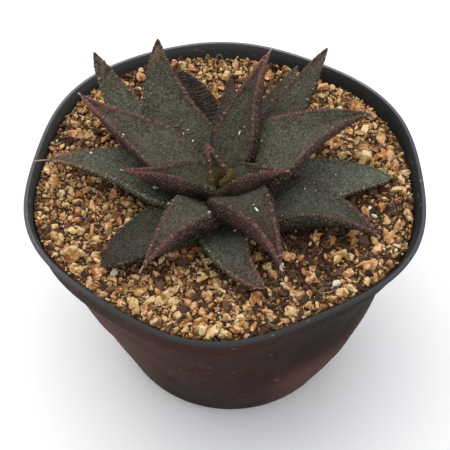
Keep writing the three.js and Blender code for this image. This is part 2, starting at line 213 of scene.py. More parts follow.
def ring_grid(rings, around):
    """Numbers of the points in a stack of rings, of the next points round, and the faces between rings."""
    index = np.arange(rings * around).reshape(rings, around)
    ahead = np.roll(index, -1, axis=1)
    return index, ahead, np.stack([index[:-1], index[1:], ahead[1:], ahead[:-1]], -1).reshape(-1, 4)


def closed_rings(rings, ends):
    """Points, quads and end fans of a closed form: a stack of rings, and the middle point of either end."""
    index, ahead, quads = ring_grid(*rings.shape[:2])
    first = np.full(len(index[0]), index.size)
    fans = [np.stack([first, index[0], ahead[0]], -1), np.stack([first + 1, ahead[-1], index[-1]], -1)]
    return np.concatenate([rings.reshape(-1, 3), ends]), quads, np.concatenate(fans)


def joined(parts):
    """Several forms as one: each is given as its points and then its arrays of faces."""
    starts = np.cumsum([0] + [len(points) for points, *_ in parts])
    faces = [np.concatenate([group + start for group, start in zip(groups, starts)])
             for groups in zip(*(part[1:] for part in parts))]
    return np.concatenate([points for points, *_ in parts]), faces


class Surface:
    """A node material, built up from its colour and its bump. Three numbers are a colour in 8-bit screen
    values, and a name is the mask of that name."""

    def __init__(self, name, roughness, ior=1.15):
        self.material = bpy.data.materials.new(name)
        self.material.use_nodes = True
        self.tree = self.material.node_tree
        self.inputs = self.tree.nodes["Principled BSDF"].inputs
        self.inputs["Roughness"].default_value = roughness
        self.inputs["IOR"].default_value = ior
        self.place = self.node("TexCoord", "Object")

    def node(self, kind, output, fed=(), **settings):
        """An output of a new shader node, with values fed to its sockets by name or number."""
        made = self.tree.nodes.new("ShaderNode" + kind)
        for key, value in settings.items():
            setattr(made, key, value)
        for key, value in dict(fed).items():
            self.feed(made.inputs[key], value)
        return made.outputs[output]

    def feed(self, socket, value):
        if isinstance(value, str):
            value = self.node("Attribute", "Fac", attribute_name=value)
        if isinstance(value, bpy.types.NodeSocket):
            self.tree.links.new(value, socket)
        else:
            socket.default_value = srgb(*value) if isinstance(value, tuple) and len(value) == 3 else value

    def axes(self):
        return [self.node("SeparateXYZ", axis, {0: self.place}) for axis in "XYZ"]

    def noise(self, scale, detail):
        return self.node("TexNoise", "Fac", {"Vector": self.place, "Scale": scale, "Detail": detail})

    def cells(self, scale, output="Distance", place=None):
        return self.node("TexVoronoi", output, {"Vector": place or self.place, "Scale": scale})

    def math(self, operation, a, b):
        return self.node("Math", 0, {0: a, 1: b}, operation=operation)

    def times(self, product, *factors):
        for factor in factors:
            product = self.math("MULTIPLY", product, factor)
        return product

    def between(self, value, low, high, low_to=0.0, high_to=1.0):
        fed = enumerate((value, low, high, low_to, high_to))
        return self.node("MapRange", "Result", fed, interpolation_type="SMOOTHSTEP")

    def mix(self, share, a, b, blend="MIX"):
        return self.node("Mix", 2, {0: share, 6: a, 7: b}, data_type="RGBA", blend_type=blend)

    def coated(self, colour, *coats):
        """A colour under coats, each given as its share and its own colour."""
        for share, coat in coats:
            colour = self.mix(share, colour, coat)
        return colour

    def dimmed(self, colour, *shares):
        for share in shares:
            colour = self.mix(1.0, colour, share, "MULTIPLY")
        return colour

    def ramp(self, value, stops):
        colour = self.node("ValToRGB", "Color", {"Fac": value})
        slots = colour.node.color_ramp.elements
        while len(slots) < len(stops):
            slots.new(0.5)
        for slot, (at, *values) in zip(slots, stops):
            slot.position, slot.color = at, srgb(*values)
        return colour

    def finish(self, colour, height=None, depth=0.0, strength=1.0):
        self.feed(self.inputs["Base Color"], colour)
        if height is not None:
            bump = {"Height": height, "Distance": depth * MM, "Strength": strength}
            self.feed(self.inputs["Normal"], self.node("Bump", "Normal", bump))
        return self.material


bpy.ops.mesh.primitive_plane_add(size=8)
floor = bpy.context.object
floor.name = "floor"
paper = Surface("floor_paper", 0.9)
shade = paper.mix(paper.noise(3, 1), (0.95, 0.95, 0.95, 1), (0.96, 0.96, 0.96, 1))
floor.data.materials.append(paper.finish(shade))


# ---- pot

def rim_bulge(angle):
    return sum(size * np.cos(n * (angle - math.radians(turn))) for n, size, turn in RIM_BULGES)


def sagged(angle, share):
    """How far the wall sags outward, or is drawn in, on its one soft side."""
    facing = np.clip(np.cos(angle - math.radians(SAG_TURN)), 0, 1) ** 3
    return SAG * facing * np.sin(TAU * share ** 1.3)


def pressed(angle, radius, z, reach=1.0):
    """A point of the soft round wall: out of round at the rim, round at the base, which stands aside."""
    share = np.clip(z / POT_HEIGHT, 0, None)
    r = (radius + rim_bulge(angle) * share ** 1.5 + sagged(angle, share)) * reach
    x = r * np.cos(angle) + BASE_SHIFT * (1 - share) - RIM_MIDDLE[0]
    y = r * np.sin(angle) - RIM_MIDDLE[1]
    return np.stack(np.broadcast_arrays(x, y, z), -1)


def middle(z):
    return pressed(0.0, 0, z, 0)


def body_radius(z):
    return lerp(31.5, 46.8, z / 56)


def inside_radius(z):
    heights = [2.8, 55.5, 57, 65, 65.9, POT_HEIGHT]
    return np.interp(z, heights, [body_radius(2.8) - WALL, 45.5, 47.4, 48.2, 48.65, 49])


def pot_profile():
    """Radius, height and zone along the wall: 0 body, 1 collar, 2 lip, 3 inside, 4 underneath."""
    wall = [(body_radius(z), z, 0) for z in np.linspace(2.4, 55.6, 34)]
    collar = [(lerp(48.1, 48.6, t), lerp(57.3, 64.8, t), 1) for t in np.linspace(0, 1, 7)]
    inner = [(lerp(48.2, 47.4, t), lerp(64.8, 57, t), 3) for t in np.linspace(0, 1, 9)]
    return [
        (0, 0.8, 4), (14, 0.8, 4), (27.6, 0.8, 4), (28.2, 0.6, 4), (28.7, 0.15, 4), (29.1, 0, 4), (30, 0, 4),
        (30.8, 0.25, 4), (31.3, 0.8, 0), (31.75, 1.6, 0),
        *wall, (46.85, 56, 0), (47.1, 56.4, 0), (47.7, 56.8, 1), (48, 57, 1),
        *collar, (48.66, 65.05, 1), (48.85, 65.17, 2), (49.5, 65.3, 2), (49.85, 65.48, 2), (49.98, 65.7, 2),
        (50, 65.95, 2), (49.9, 66.25, 2), (49.72, 66.42, 2), (49.5, 66.5, 2), (49.2, 66.5, 2),
        (49, 66.42, 2), (48.85, 66.2, 3), (48.65, 65.9, 3), (48.45, 65.5, 3), (48.28, 65.1, 3),
        *inner, (46.3, 56, 3), (45.5, 55.5, 3),
        *[(body_radius(z) - WALL, z, 3) for z in (48, 42, 30, 20, 10, 2.8)],
        (body_radius(1.8) - WALL - 1, 1.8, 3), (0, 1.8, 3),
    ]


def pot_surface():
    skin = Surface("pot_plastic", 0.6, 1.12)
    x, y, z = skin.axes()
    front = skin.between(y, 0.006, -0.02)
    # Painted light: the left of the front is lighter, where the light falls on it.
    left = skin.times(skin.between(x, -0.011, -0.03), front)
    # Painted shadow: the upper right of the front is darker and cooler.
    painted_shadow = skin.times(skin.between(x, 0.002, 0.026), skin.between(z, 0.03, 0.05), front)
    ruddy = skin.times(skin.between(x, 0.008, 0.02), skin.between(z, 0.038, 0.026), front)
    # Painted shade: darker low on the front of the pot.
    foot_shade = skin.times(skin.between(z, 0.036, 0.012), skin.between(x, 0.006, -0.004),
                      skin.between(x, -0.024, -0.013), front, 0.7)
    patches = skin.noise(28, 3)
    body = skin.coated(
        skin.mix(skin.between(patches, 0.3, 0.7), (53, 30, 24), (40, 23, 18)),
        (left, (75, 44, 35)), (ruddy, (76, 46, 38)), (foot_shade, (34, 19, 16)),
        (painted_shadow, skin.mix(patches, (24, 21, 18), (33, 27, 22))),
    )
    collar = skin.coated(
        body, (skin.math("SUBTRACT", 0.35, skin.times(painted_shadow, 0.35)), (66, 38, 30)),
        (skin.times(skin.between(x, -0.018, -0.027, 0, 0.8), front), (40, 34, 29)),
    )
    # The lip: blue-grey, partly its own colour and partly a painted sheen from the light above; painted
    # light makes it lighter on the left and puts a painted highlight on its back; it is darker at the front.
    rim = skin.coated(
        skin.mix(skin.noise(60, 4), (82, 86, 93), (66, 70, 76)),
        (skin.between(x, -0.01, -0.045), (90, 90, 92)),
        (skin.between(y, -0.044, -0.02, 0.75, 0), (52, 48, 46)),
        (skin.between(y, 0.01, 0.04, 0, 0.8), (118, 122, 128)),
    )
    # Painted light: the inner wall is lighter than the plastic outside, most of all on the left.
    inside = skin.mix(skin.between(x, 0, 0.035), (64, 65, 65), (46, 46, 45))
    place = skin.node("Mapping", "Vector", {"Vector": skin.place, "Scale": [0.55, 0.55, 1.4]})
    streaks = skin.between(skin.cells(420, place=place), 0.17, 0.08)
    film = skin.times(skin.between(skin.noise(420, 3), 0.5, 0.75), 0.03)
    dust = skin.math("MAXIMUM", skin.times(streaks, skin.between(skin.noise(90, 2), 0.45, 0.58), 0.4), film)
    colour = skin.coated(body, ("collar", collar), ("lip", rim),
                         ("inside", inside), (dust, (150, 128, 116)))
    return skin.finish(colour, skin.noise(700, 3), 0.05, 0.5)


def pot_piece():
    profile = pot_profile()[::-1]
    angle = np.arange(POT_SIDES) * TAU / POT_SIDES
    rings = np.array([pressed(angle, radius, z) for radius, z, _ in profile[1:-1]])
    zones = np.array([zone for _, _, zone in profile[1:-1]])
    # Soft wall: long shallow dents, strongest on the tapering body.
    z = rings[..., 2]
    dent = 0.35 * value_noise(angle * 6, z / 9, 1.0, 5)
    weight = (zones == 0)[:, None] * step(z, 3, 20) * step(56 - z, 0, 12)
    rings[..., :2] += unit(rings[..., :2]) * (dent * weight)[..., None]
    points, quads, fans = closed_rings(rings, [middle(profile[0][1]), middle(profile[-1][1])])
    zones = np.append(np.repeat(zones, POT_SIDES), [profile[0][2], profile[-1][2]])
    masks = {"lip": zones == 2, "collar": zones == 1, "inside": zones == 3}
    piece = make_object("pot_shell", points, [quads, fans], pot_surface(), masks)
    cut_drain_holes(piece)
    part_piece(piece, "pot_plastic", "pot")


def cut_drain_holes(piece):
    made = bmesh.new()
    for i in range(DRAIN_HOLES):
        angle = TAU * (i + 0.5) / DRAIN_HOLES
        hole = bmesh.ops.create_cone(made, cap_ends=True, segments=32, radius1=DRAIN_RADIUS * MM,
                                     radius2=DRAIN_RADIUS * MM, depth=8 * MM)
        centre = middle(0.0) + DRAIN_RING * np.array([math.cos(angle), math.sin(angle), 0])
        bmesh.ops.translate(made, verts=hole["verts"], vec=Vector(centre * MM))
    mesh = bpy.data.meshes.new("drain_cutter")
    made.to_mesh(mesh)
    made.free()
    cutter = add_object("drain_cutter", mesh)
    cut = piece.modifiers.new("drain", "BOOLEAN")
    cut.object = cutter
    cut.operation = "DIFFERENCE"
    cut.solver = "EXACT"
    graph = bpy.context.evaluated_depsgraph_get()
    finished = bpy.data.meshes.new_from_object(piece.evaluated_get(graph))
    piece.modifiers.clear()
    piece.data = finished
    bpy.data.objects.remove(cutter)


pot_piece()


# ---- leaves

LEAF = dict(
    thick=6, bend=1.5, swing=0, roll=0, twist=0, start=2.5, fold_base=7, fold_tip=20, fold_rate=1.3,
    taper=1.1, blunt=0.06, edge=1.9, clasp=0.45, awn=0,
    rows=0, red=0.75, green=0.3, ridge=0, pale=0, heart=0, tone=1, fringe=(0, 0), dry=2, blush=0, blue=0,
    mossy=(0, 0),
)


def leaf(*measures, **changes):
    names = ("heading", "length", "width", "rise", "droop", "height")
    return SimpleNamespace(**{**LEAF, **dict(zip(names, measures)), **changes})


# The short recurved pair by the bud.
PAIR = dict(start=1.5, fold_base=15, fold_rate=0.9, taper=1.8, clasp=0.7, awn=0.03, red=0.4, heart=0.25,
            fringe=(1, 1), blush=0.8, tone=0.8)

# Youngest first. Lengths in millimetres and slopes in degrees. awn: the bristle's share beyond the blade;
# red and dry: where along the leaf the tip turns maroon and where it withers; tone: how light the leaf is,
# partly its own lightness and partly painted light and shade for how much light falls on it;
# rows, green, blue, ridge, pale, heart and blush (a pink tip): shares of those looks; fringe and mossy: how
# maroon the left and the right margin are, and how green the left and the right side.
LEAVES = [
    leaf(179.2, 13.4, 3.7, 76, 75.5, 71, roll=-65, swing=3.5, start=0, thick=2.4, fold_base=32, fold_tip=60,
         taper=1.15, edge=1.1, clasp=0.85, red=0.45, heart=0.5, fringe=(1, 1), blush=0.4, tone=1.2),
    leaf(-40, 7, 3.2, 66, 76, 71, start=0.8, thick=2.6, edge=1.1, fold_tip=50, red=0.6, heart=1),
    leaf(182.8, 22.1, 6.8, 14, 9.8, 71.6, roll=1.5, fold_tip=68, edge=3.4, **PAIR),
    leaf(-13.8, 16.5, 8.4, 41, 11, 70.6, roll=-12, swing=3, fold_tip=65, edge=3.2, **PAIR),
    leaf(71, 36, 9.4, 45, 10, 68, swing=-9, roll=-12, start=2, fold_tip=60, taper=1.4, edge=3.9, awn=0.035,
         red=0.7, heart=0.2, fringe=(1, 1), blush=1, tone=0.88),
    leaf(155, 42, 10.8, 24, -7.5, 69, swing=-28, fold_tip=62, taper=1.15, awn=0.03, heart=0.2,
         fringe=(1, 1), blush=0.8, tone=1.08),
    leaf(-61, 29.7, 10.7, 43, -40, 68.5, bend=1.3, swing=-4, start=2, roll=-6, thick=8, fold_tip=60,
         taper=1.23, edge=4.8, awn=0.02, red=0.5, heart=0.2, fringe=(0.5, 0.5), blush=0.5, blue=0.3,
         tone=0.84),
    leaf(24.4, 41.5, 14, 34, -21, 68, swing=2.5, roll=-1.5, fold_tip=62, taper=1.13, edge=3.1, awn=0.015,
         red=0.85, fringe=(0.7, 0.7), tone=1.17),
    leaf(-122, 30.4, 9.2, 36, -36, 66.5, swing=-9, roll=8, thick=7, fold_tip=58, taper=1.15, blunt=0.03,
         edge=4.4, awn=0.05, red=0.6, fringe=(0.3, 0.3), blush=0.3, green=0.1, blue=0.3, tone=1.1),
    leaf(125, 43.3, 12.6, 16.5, 49.5, 64.5, swing=-38, twist=-24, fold_tip=16, taper=1.04, blunt=0.2,
         edge=2.8, red=2, rows=1, dry=0.9, green=0.4, fringe=(0, 0.9), mossy=(0.6, 0), tone=1.11),
    leaf(50, 44.3, 9.4, 22.5, 46.5, 64, roll=-9.5, swing=-5, taper=0.82, blunt=0.1, edge=2.2, red=2,
         dry=0.93, fringe=(1, 0), mossy=(0, 0.6), tone=1.06),
    leaf(-14.6, 38, 11.6, 23.7, -27.4, 64, swing=-13, thick=9, fold_tip=52, taper=1.05, edge=5, awn=0.025,
         red=0.8, blush=0.4, blue=0.6, mossy=(0.4, 0.5), tone=1.03),
    leaf(-89, 29, 7.4, 18.8, -15, 63, swing=61, roll=3.5, fold_tip=35, taper=0.7, blunt=0.2, edge=2.6,
         clasp=0.4, red=0.65, green=0.4, blush=0.35, blue=0.7, fringe=(0.5, 0), mossy=(0, 1), tone=1.36),
    leaf(101.7, 36.7, 11.4, 18.3, 20.4, 62.5, roll=12.6, swing=17.4, start=3, thick=5.5, taper=0.55,
         blunt=0.11, ridge=1, red=2, tone=1.2),
    leaf(64, 46.4, 9, 18.5, -3.3, 62, swing=2, start=3, thick=4.5, pale=0.1, red=2, fringe=(1, 1),
         tone=0.75),
    leaf(139.5, 48, 10.8, 12, 62, 62.5, roll=-6, swing=-7, start=3, rows=0.6, taper=0.95, blunt=0.14, red=2,
         dry=0.9, green=0.5, fringe=(0, 0.5), mossy=(0.7, 0.2), tone=1.5),
    leaf(166.2, 42.5, 13.4, 26.3, -9.5, 63.5, bend=1, swing=8.5, start=3, fold_tip=35, taper=1.06,
         blunt=0.02, awn=0.075, red=0.84, blush=0.35, green=0.9, mossy=(0.8, 0.8), tone=1.4),
    leaf(86, 36, 8, 18, 12, 62.5, start=3, thick=4.5, blunt=0.08, red=0.8, green=0.4, tone=0.8),
    leaf(12, 40, 11.2, 11, -6, 63, swing=-13, start=3, fold_tip=12, taper=0.8, blunt=0.35, edge=3, red=2,
         green=0.5, blue=0.7, mossy=(0.95, 0.95), tone=1.7),
    leaf(-141, 32.5, 8.6, 20, -17, 63, swing=-2, start=3, fold_tip=14, taper=0.6, blunt=0.45, edge=3,
         blue=0.3, mossy=(0.9, 0.9), tone=0.72),
]

LEAF_STEPS = 480
UPPER_POINTS, MARGIN_POINTS = 40, 12


def leaf_frames(row, s):
    """Centre line and the directions across and up at each share s of the leaf's length."""

    def headings(t):
        return np.radians(row.heading + row.swing * t * t)

    def direction(t):
        h, a = headings(t), np.radians(lerp(row.rise, row.droop, t ** row.bend))
        return np.stack([np.cos(a) * np.cos(h), np.cos(a) * np.sin(h), np.sin(a)], -1)

    marks = np.arange(LEAF_STEPS + 1) / LEAF_STEPS * (1 + row.awn)
    h = math.radians(row.heading)
    start = np.array([CROWN[0] + row.start * math.cos(h), CROWN[1] + row.start * math.sin(h), row.height])
    walked = start + np.cumsum(direction((marks[1:] + marks[:-1]) / 2), 0) * marks[1] * row.length
    walked = np.concatenate([[start], walked])
    centre = np.stack([np.interp(s, marks, walked[:, i]) for i in range(3)], -1)
    across = np.stack([-np.sin(headings(s)), np.cos(headings(s)), 0 * s], -1)
    up = np.cross(direction(s), across)
    roll = np.radians(row.roll + row.twist * s)[:, None]
    return centre, across * np.cos(roll) + up * np.sin(roll), up * np.cos(roll) - across * np.sin(roll)


def leaf_section(row, s):
    """Half a cross-section by share s: x outward and z upward from the middle of the upper face, round the
    margin, to the keel."""
    s = np.minimum(s, 1)
    grown = lerp(0.7, 1, smooth(s / 0.35))
    pointed = (1 - s) ** row.taper * (1 - row.blunt)
    rounded = row.blunt * np.sqrt(np.maximum(1 - s * s, 0))
    half = np.maximum(row.width * (pointed + rounded) * lerp(row.clasp, 1, smooth(s / 0.4)), 0.1)
    body = (1 - s ** 2.2) ** 0.9 * (1 - 0.45 * s)
    fold = np.radians(lerp(row.fold_base, row.fold_tip, s ** row.fold_rate))
    edge = (row.edge - 0.6) * (1 - s) ** 0.7 * grown + lerp(0.6, 0.2, step(s, 0.6, 1))
    keel = np.maximum(row.thick * body * grown + 0.2, edge)
    half, keel, fold, edge = (v[:, None] for v in (half, keel, fold, edge))

    def rise(u):
        return (np.sqrt(u * u + 0.02) - math.sqrt(0.02)) * half * np.sin(fold)

    def tilt(u):
        return np.arctan(u / np.sqrt(u * u + 0.02) * np.tan(fold))

    u = np.linspace(0, 1, UPPER_POINTS)[None, :]
    wide = half * np.cos(fold)
    t = np.linspace(0, 1, MARGIN_POINTS + 2)[None, 1:-1]
    bulge = 4 * t * (1 - t) * (0.2 * edge + 0.02 * wide)
    side_x = wide + t * edge * np.sin(tilt(1.0)) + bulge * np.cos(tilt(1.0))
    side_z = rise(1.0) - t * edge * np.cos(tilt(1.0)) + bulge * np.sin(tilt(1.0))
    v = u[:, ::-1]
    depth = edge + (keel - edge) * (1 - v * v) ** 0.9
    x = np.concatenate([u * wide, side_x, v * wide + depth * np.sin(tilt(v))], 1)
    z = np.concatenate([rise(u), side_z, rise(v) - depth * np.cos(tilt(v))], 1)
    for _ in range(7):
        x, z = soften(x, -1), soften(z, 1)
    return x, z


def soften(values, mirror):
    """One pass of rounding along a half section whose other half mirrors it."""
    padded = np.concatenate([mirror * values[:, 1:2], values, mirror * values[:, -2:-1]], 1)
    return 0.25 * padded[:, :-2] + 0.5 * padded[:, 1:-1] + 0.25 * padded[:, 2:]


def leaf_form(row, rings, above, below):
    """The plain skin of a leaf, from base to tip: its points, the share s of the length by ring, the way w
    round from the middle of the upper face, and where on that way the margin begins and ends."""
    s = (1 + row.awn) * (1 - (1 - np.linspace(0, 1, rings)) ** 1.12)
    centre, across, up = leaf_frames(row, s)
    x, z = leaf_section(row, s)
    gaps = np.hypot(np.diff(x, axis=1), np.diff(z, axis=1))
    reach = np.concatenate([np.zeros((rings, 1)), np.cumsum(gaps, 1)], 1)
    begin, end = reach[:, [UPPER_POINTS - 1]], reach[:, [UPPER_POINTS + MARGIN_POINTS]]
    lower = lerp(end, reach[:, -1:], np.linspace(0, 1, below + 1)[1:])
    walk = np.concatenate([np.linspace(0, 1, above + 1) * end, lower], 1)

    def whole(half, mirror):
        """The right half outward, then the left half back from the keel to the middle."""
        return np.concatenate([half, mirror * half[:, -2:0:-1]], 1)

    def placed(values, mirror):
        half = np.stack([np.interp(*ring) for ring in zip(walk, reach, values)])
        return whole(half, mirror)[..., None]

    grid = centre[:, None] + placed(x, -1) * across[:, None] + placed(z, 1) * up[:, None]
    return grid, s[:, None], whole(walk, -1), begin, end


def domes(l, w, pitch, stretch, seed, fill, stray=0.7):
    """Height from 0 to 1 of straying rows of small round bumps on a surface with coordinates l and w."""
    best = np.zeros(np.broadcast(l, w).shape)
    wide = pitch * stretch
    for di in (-1, 0, 1):
        row = np.floor(l / pitch) + di
        shift = 0.5 * np.mod(row, 2) + 0.25 * hashed(row, 7, seed)
        for dj in (-1, 0, 1):
            column = np.floor(w / wide - shift) + dj
            at_l = (row + 0.5 + stray * (hashed(row, column, seed) - 0.5)) * pitch
            at_w = (column + 0.5 + shift + stray * (hashed(row, column, seed + 1) - 0.5)) * wide
            away = ((l - at_l) / (fill * pitch)) ** 2 + ((w - at_w) / (fill * wide)) ** 2
            size = 0.25 + 0.75 * hashed(row, column, seed + 2) ** 1.5
            best = np.maximum(best, np.clip(1 - away, 0, 1) * size)
    return best


def waves(l, w, pitch, seed):
    """Height from 0 to 1 of uneven ridges across a leaf."""
    ridge = np.abs(np.mod(l / pitch, 1) - 0.5) * 2
    return np.clip(ridge * 1.6 - 0.4, 0, 1) * (0.6 + 0.4 * value_noise(l, w, 1.6, seed))


def leaf_surface():
    skin = Surface("leaf_skin", 0.65, 1.16)
    broad = skin.noise(130, 3)
    fine = skin.noise(900, 3)
    patchy = skin.between(broad, 0.3, 0.7)
    colour = skin.coated(
        skin.mix(patchy, (63, 58, 46), (76, 70, 57)),
        ("blue", skin.mix(broad, (60, 61, 56), (74, 75, 71))),
        (skin.times("green", skin.between(skin.noise(200, 2), 0.25, 0.6)), (60, 65, 51)),
        ("mossy", skin.mix(broad, (40, 43, 29), (54, 56, 39))),
        # The ridged leaf's face: partly its own dark purple-brown, partly painted shade where it lies in the
        # shade of the leaf over it.
        ("ridge", (31, 24, 20)),
        ("margin", skin.mix("mossy", skin.mix(patchy, (29, 21, 16), (39, 28, 22)), (50, 53, 36))),
        ("under", skin.mix(patchy, (36, 29, 23), (48, 39, 30))),
        ("fringe", skin.mix(broad, (52, 38, 33), (73, 54, 47))),
        (skin.times("red", 0.7), (62, 41, 36)),
        (skin.times("rim", 0.28), (112, 88, 76)),
        ("blush", (112, 72, 66)),
        ("heart", skin.mix(fine, (118, 96, 48), (76, 68, 38))),
        ("pale", (128, 124, 106)),
    )
    colour = skin.dimmed(colour, skin.between(skin.noise(1400, 2), 0.32, 0.66, 0.66, 1.22),
                         skin.between(skin.noise(330, 3), 0.3, 0.7, 0.82, 1.14))
    bump_colour = skin.mix("purple", (142, 139, 126), skin.mix(fine, (106, 86, 75), (172, 152, 136)))
    specks = skin.times(skin.between(skin.cells(2100), 0.42, 0.12), skin.between(fine, 0.35, 0.6, 0.1, 0.6))
    colour = skin.coated(
        colour,
        (skin.times(skin.math("POWER", "dome", 1.5), 0.72), bump_colour),
        (skin.times(specks, skin.math("SUBTRACT", 1.0, "dome")),
         skin.mix("purple", (130, 128, 116), (112, 92, 84))),
    )
    # The leaf's tone darkens or lightens it: partly its own lightness, partly painted light and shade for
    # how much light falls on it.
    colour = skin.coated(
        skin.dimmed(colour, "tone"),
        ("dry", skin.mix(skin.between(fine, 0.35, 0.65), (60, 49, 40), (108, 92, 75))),
        ("awn", (160, 138, 124)),
    )
    return skin.finish(colour, skin.math("ADD", skin.noise(2600, 3), skin.times(specks, 0.8)), 0.12, 0.8)


def leaf_detail(row, number, grid, s, w, begin, end):
    """The skin of a leaf with its relief, and the masks of its looks."""
    along = s + 0 * w
    l = along * row.length
    away = np.abs(w)
    round_edge = step(away, begin - 0.7, begin - 0.1) * (1 - step(away, end, end + 0.9))
    under = step(away, end - 0.1, end + 0.9)
    ragged = 1 + 0.6 * value_noise(l, w, 1.3, number + 70)
    inner = step(away, begin - lerp(1.9, 1.1, s) * ragged, begin - 0.4 * ragged) * (1 - under)
    on_rim = np.exp(-((away - begin) / 0.45) ** 2)

    def by_zone(face, margin, back):
        return lerp(lerp(face, margin, round_edge), back, under)

    fine = domes(l, w, 0.62, lerp(1.1, 1.9, row.rows), number * 10, 0.42)
    ridged = waves(l + 0.9 * value_noise(l, w, 2.6, number + 60), w, 0.95, number + 1)
    low = domes(l, away, 0.8, lerp(1.15, 2.8, row.ridge), number * 10 + 3, 0.36)
    teeth = domes(l, away - begin, 0.66, 1.15, number * 10 + 6, 0.38)
    crest = domes(l, away - begin + 0.2, 0.78, 60.0, number * 10 + 8, 0.42, 0.35) * on_rim
    dome = by_zone(lerp(fine, 0.6 * ridged, row.ridge), teeth, low)
    relief = by_zone(lerp(0.16, 0.5, row.ridge), 0.3, lerp(0.24, 0.36, row.ridge))
    swell = 0.22 * value_noise(l, w, 6.0, number) + 0.1 * value_noise(l, w, 2.4, number + 30)
    strength = (1 - step(s, 0.93, 1.0)) * step(s, 0, 0.03)
    height = (relief * dome + 0.4 * crest) * lerp(0.2, 1, strength) + swell * strength
    height = np.where(s < 1, height, 0)

    normal = unit(np.cross(np.roll(grid, -1, 1) - np.roll(grid, 1, 1), np.gradient(grid, axis=0)))
    outward = np.sign((normal * (grid - grid.mean(1, keepdims=True))).sum())
    grid = grid + outward * normal * height[..., None]

    share = np.clip(away / np.maximum(begin, 0.1), 0, 1)
    from_crown = np.linalg.norm(grid[..., :2] - CROWN, axis=2)
    red = step(along, row.red - 0.12, row.red + 0.2)
    fringe = inner * step(along, 0.2, 0.5) * np.where(w > 0, *row.fringe)
    moss = np.where(w > 0, *row.mossy)
    rim_zone = step(away, begin - lerp(2.4, 1.2, s), begin - 0.6) * (1 - under)
    mossy = moss * np.maximum(round_edge, rim_zone)
    blushing = step(along, 0.6, 0.9) * np.clip(on_rim + 0.35 * inner + 0.25 * round_edge, 0.15, 1)
    hearted = row.heart * (1 - step(from_crown, 2, 9)) + 0.4 * (1 - step(from_crown, 2, 6))
    return grid, dict(
        margin=round_edge,
        under=under,
        green=np.clip(row.green + 0.45 * step(share, 0.55, 0.95), 0, 1) * (1 - round_edge),
        red=red * lerp(0.5, 1, np.maximum(round_edge, on_rim)),
        fringe=fringe,
        blush=row.blush * blushing,
        heart=np.clip(hearted, 0, 1) * np.maximum(1 - step(along, 0.15, 0.6), row.heart >= 1),
        pale=row.pale * (0.4 + 0.6 * (1 - under)),
        purple=np.clip(round_edge * (1 - 0.8 * moss) + under * 0.6 + red + fringe + 0.7 * row.ridge, 0, 1),
        dome=dome * by_zone(0.7, 1, 0.75) + crest,
        # Tone: partly the leaf's own lightness, partly painted light and shade.
        tone=row.tone + 0 * w,
        blue=row.blue * (1 - step(share, 0.5, 1)),
        dry=step(along + 0.04 * value_noise(l, w, 2.0, number + 90), row.dry - 0.12, row.dry + 0.08),
        mossy=mossy,
        ridge=row.ridge * (1 - round_edge),
        awn=step(along, 0.985, 1.01) * (row.awn > 0),
        rim=on_rim * (1 - row.ridge) * step(along, 0.1, 0.4) * (1 - 0.8 * mossy),
    )


def leaf_piece(row, number, surface):
    rings = int(np.clip(row.length * (1 + row.awn) / 0.2, 50, 220))
    above = int(np.clip((row.width + row.edge) / 0.19, 18, 90))
    below = int(np.clip(row.width / 0.27, 10, 50))
    grid, masks = leaf_detail(row, number, *leaf_form(row, rings, above, below))
    points, quads, fans = closed_rings(grid, [grid[0].mean(0), grid[-1].mean(0)])
    masks = {key: np.append(values, [values[0].mean(), values[-1].mean()]) for key, values in masks.items()}
    piece = make_object(f"leaf_{number:02d}_skin", points, [quads, fans], surface, masks)
    turn_outward(piece)
    part_piece(piece, "leaf", f"leaf_{number:02d}")


leaf_skin = leaf_surface()
for number, row in enumerate(LEAVES, 1):
    leaf_piece(row, number, leaf_skin)


def leaf_tree():
    """The leaves' plain shapes, to keep the grit clear of them."""
    grids = [leaf_form(row, 40, 12, 8)[0] for row in LEAVES]
    points, (quads,) = joined([(grid.reshape(-1, 3), ring_grid(*grid.shape[:2])[2]) for grid in grids])
    return BVHTree.FromPolygons(points.tolist(), quads.tolist())


leaf_shapes = leaf_tree()


# ---- stem, under the leaves

def stem_surface():
    bark = Surface("stem_skin", 0.8)
    colour = bark.mix(bark.noise(500, 4), (96, 78, 48), (132, 112, 70))
    return bark.finish(colour, bark.noise(1400, 3), 0.2, 0.7)


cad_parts["stem"].data.materials.clear()
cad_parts["stem"].data.materials.append(stem_surface())


# ---- potting mix

def edge_lift(x, y):
    facing = 0.5 + 0.5 * np.cos(np.arctan2(y, x) - math.radians(EDGE_LIFT_TURN))
    return EDGE_LIFT * facing * step(np.hypot(x, y), *EDGE_LIFT_REACH)


def ground_height(x, y):
    dip = CROWN_DIP * (1 - smooth((np.hypot(x - CROWN[0], y - CROWN[1]) - 6) / 20))
    rough = 0.5 * value_noise(x, y, 7, 3) + 0.3 * value_noise(x, y, 2.2, 4)
    rough = rough + 0.16 * value_noise(x, y, 0.9, 5)
    return MIX_LEVEL - 0.2 - dip + rough + edge_lift(x, y)


def soil_surface():
    soil = Surface("soil", 0.95, 1.1)
    tone = soil.node("SeparateColor", 0, {0: soil.cells(1500, "Color")})
    colour = soil.ramp(tone, [(0, 52, 37, 27), (0.5, 84, 61, 43), (0.75, 114, 86, 59), (0.9, 148, 113, 77),
                              (1, 188, 150, 108)])
    colour = soil.mix(soil.between(soil.noise(130, 3), 0.4, 0.7, 0, 0.7), colour, (74, 53, 40))
    return soil.finish(colour, soil.noise(1900, 4), 0.4, 0.9)


